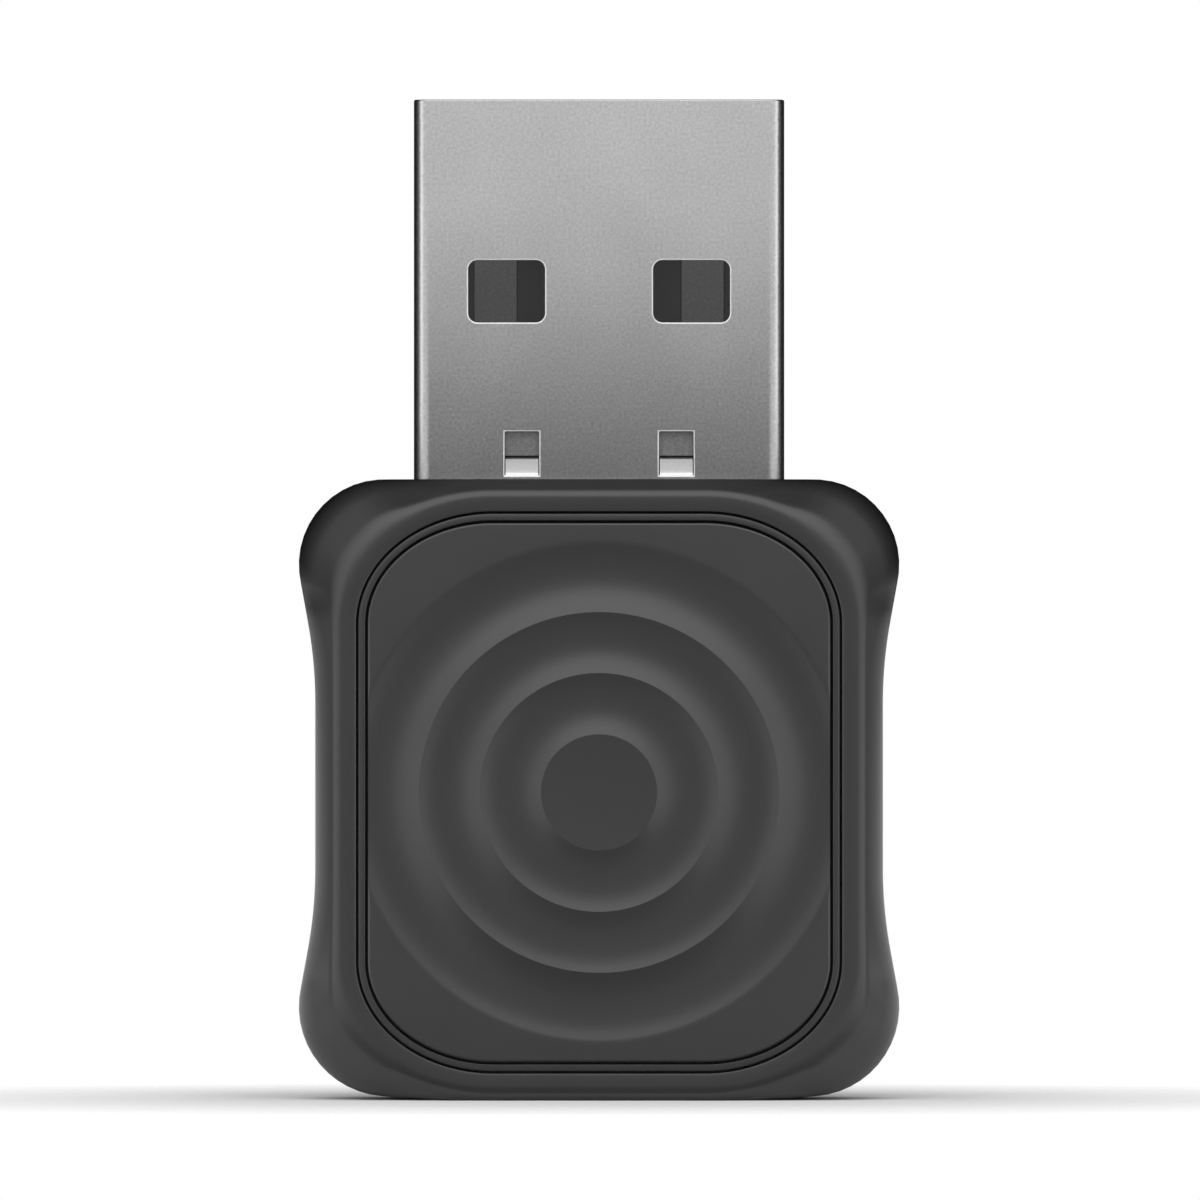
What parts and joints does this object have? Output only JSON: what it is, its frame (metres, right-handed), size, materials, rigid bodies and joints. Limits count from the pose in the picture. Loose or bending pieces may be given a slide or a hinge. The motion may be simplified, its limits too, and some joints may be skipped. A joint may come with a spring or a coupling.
{
  "type": "usb wifi adapter",
  "caption": "Nano USB wifi adapter: squarish charcoal body with a waist, a rippled face plate inside a thin ring, and a satin metal USB-A plug.",
  "frame": {"origin": "middle of the flat land under the body's tail end, on the parting plane", "axes": "+Z along the plug, from the tail end to the plug's tip; -Y out of the rippled face; X across the body"},
  "size_m": [0.0194, 0.008, 0.0324],
  "materials": {
    "housing": "satin moulded charcoal",
    "face_plate": "satin moulded charcoal",
    "trim_ring": "satin moulded charcoal",
    "plug_shell": "satin, fine grain",
    "insulator": "matte",
    "board": "solder-masked laminate",
    "copper": "bare copper",
    "package": "matte moulded",
    "crystal": "plated lid on a ceramic tray",
    "ferrite": "matte ferrite",
    "ceramic": "matte ceramic",
    "resistor": "glazed top",
    "solder": "reflowed solder",
    "contact": "thin grey plating"
  },
  "bodies": {
    "root": {"front_cover": "housing", "rear_cover": "housing", "face_plate": "face_plate", "trim_ring": "trim_ring", "plug_shell": "plug_shell", "plug_insulator": "insulator", "circuit_board": "board", "antenna_trace": "copper", "wifi_chip": "package", "esd_array": "package", "voltage_regulator": "package", "crystal": "crystal", "power_inductor": "ferrite", "rf_filter": "ceramic", "ceramic_capacitors": "ceramic", "chip_resistors": "resistor", "solder_joints": "solder", "contact_power": "contact", "contact_data_minus": "contact", "contact_data_plus": "contact", "contact_ground": "contact"}
  },
  "joints": []
}
